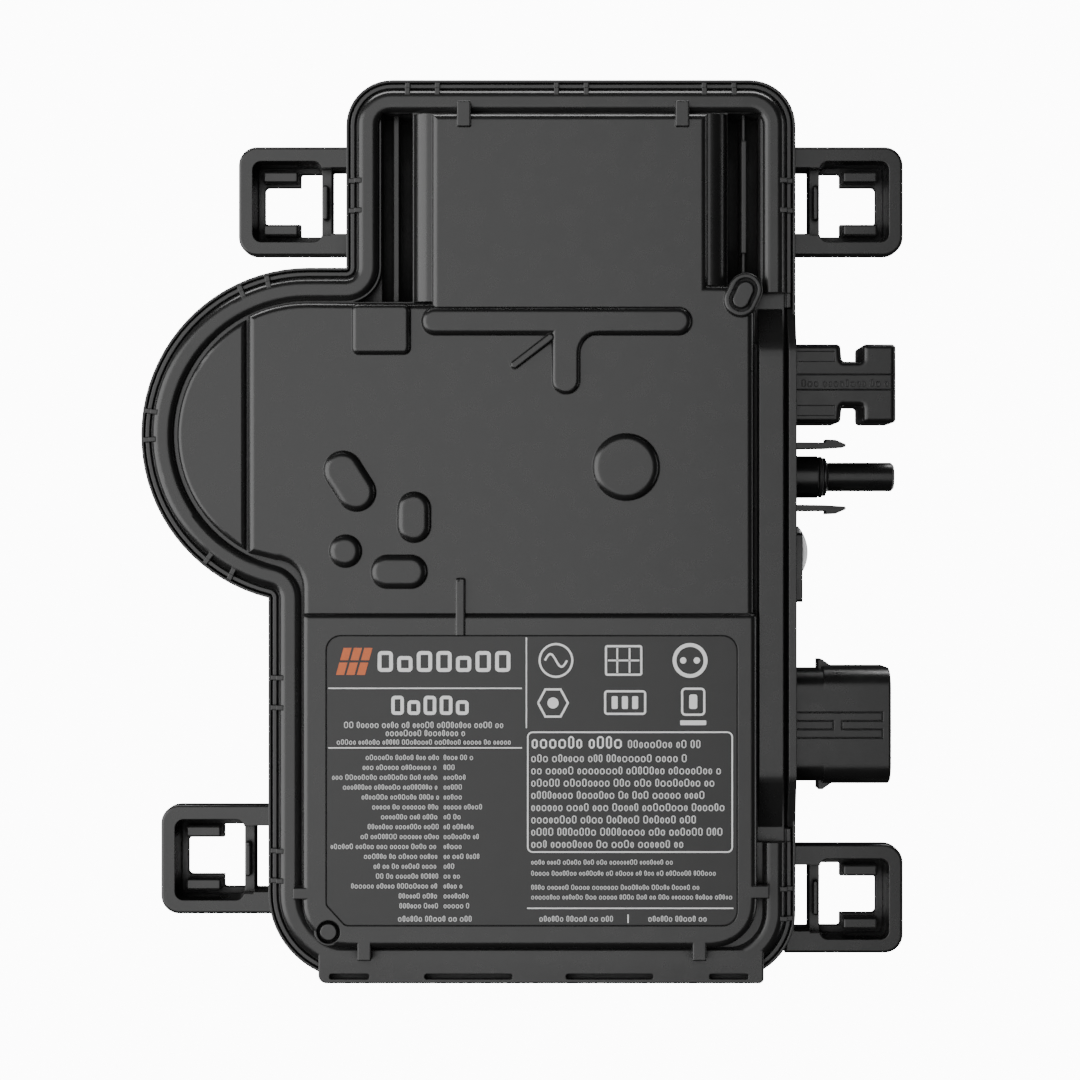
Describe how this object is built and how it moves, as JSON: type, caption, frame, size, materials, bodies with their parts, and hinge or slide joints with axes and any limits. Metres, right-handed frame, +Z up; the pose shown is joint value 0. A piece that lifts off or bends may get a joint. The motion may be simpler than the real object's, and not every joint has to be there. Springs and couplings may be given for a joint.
{
  "type": "micro inverter",
  "caption": "Flat polymer micro inverter with a round lobe, windowed mounting ears, and direct-current and mains connectors along one side.",
  "frame": {"origin": "bottom centre of the bounding box of the upright unit", "axes": "+X towards the connector side, +Y towards the rear face, +Z up; the label faces -Y"},
  "size_m": [0.1798, 0.0302, 0.212],
  "materials": {
    "case_black": "moulded dark grey polymer, fine matt grain",
    "label_grey": "printed polyester film, satin",
    "connector_black": "glass-filled nylon, satin",
    "seal_rubber": "silicone rubber, matt",
    "contact_metal": "tin plated copper",
    "lamp_white": "translucent diffusing lens",
    "board_green": "solder mask",
    "ferrite": "sintered ferrite",
    "copper": "enamelled copper wire",
    "aluminium": "plain aluminium",
    "component_black": "epoxy package",
    "component_grey": "component case",
    "pad_grey": "filled silicone gap pad"
  },
  "bodies": {
    "case": {"front_cover": "case_black", "rear_housing": "case_black", "cover_seal": "seal_rubber", "label_plate": "label_grey", "dc_plug_housing": "connector_black", "dc_plug_pin": "contact_metal", "dc_socket_body": "connector_black", "dc_socket_seal": "seal_rubber", "dc_socket_contact": "contact_metal", "ac_shell": "connector_black", "ac_insert": "connector_black", "ac_contacts": "contact_metal", "ac_gasket": "seal_rubber", "lamp_holder": "connector_black", "lamp_lens": "lamp_white", "lamp_chip": "component_grey", "circuit_board": "board_green", "transformer_core": "ferrite", "transformer_winding": "copper", "transistors": "component_black", "thermal_pads": "pad_grey", "heat_spreader": "aluminium", "bulk_capacitors": "aluminium", "film_capacitors": "component_grey", "surge_suppressors": "component_grey", "relays": "component_black", "controller_chip": "component_black", "memory_chip": "component_black", "choke_core": "ferrite", "choke_windings": "copper", "inductor_core": "ferrite", "inductor_winding": "copper", "dc_strips": "contact_metal", "ac_strips": "contact_metal"},
    "upper_latch": {"latch_arm_upper": "connector_black"},
    "lower_latch": {"latch_arm_lower": "connector_black"}
  },
  "joints": [
    {"name": "upper_latch_flex", "type": "hinge", "parent": "case", "child": "upper_latch", "pos_m": [0.066, 0.0033, 0.12645], "axis": [0, 1, 0], "range_deg": [0, 5], "stiffness_Nm_per_rad": 0.5},
    {"name": "lower_latch_flex", "type": "hinge", "parent": "case", "child": "lower_latch", "pos_m": [0.066, 0.0033, 0.11155], "axis": [0, -1, 0], "range_deg": [0, 5], "stiffness_Nm_per_rad": 0.5}
  ]
}
